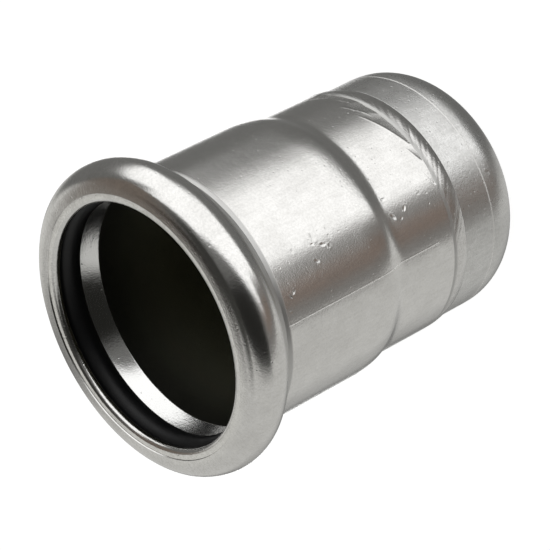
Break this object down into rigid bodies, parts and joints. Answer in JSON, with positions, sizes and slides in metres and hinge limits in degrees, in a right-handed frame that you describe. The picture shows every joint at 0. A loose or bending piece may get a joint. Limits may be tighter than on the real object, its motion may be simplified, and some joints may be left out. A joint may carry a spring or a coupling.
{
  "type": "press fit fitting",
  "caption": "Stainless steel press-fit end cap: a beaded socket with a black seal ring takes a 28 mm pipe, and a welded-on drawn cap closes the far end.",
  "frame": {"origin": "centre of the closed end's flat outer face, which the part stands on", "axes": "+Z along the pipe's axis, out of the mouth; X and Y are any two directions across it"},
  "size_m": [0.0368, 0.0368, 0.0466],
  "materials": {
    "satin_steel": "satin stainless steel, pickled and tumbled, with a soft sheen",
    "drawn_steel": "drawn stainless steel, a little duller and faintly mottled",
    "weld_steel": "bright rippled weld metal",
    "black_rubber": "smooth moulded rubber with a low sheen"
  },
  "bodies": {
    "root": {"press_socket": "satin_steel", "end_cap": "drawn_steel", "weld_seam": "weld_steel", "seal_ring": "black_rubber"}
  },
  "joints": []
}
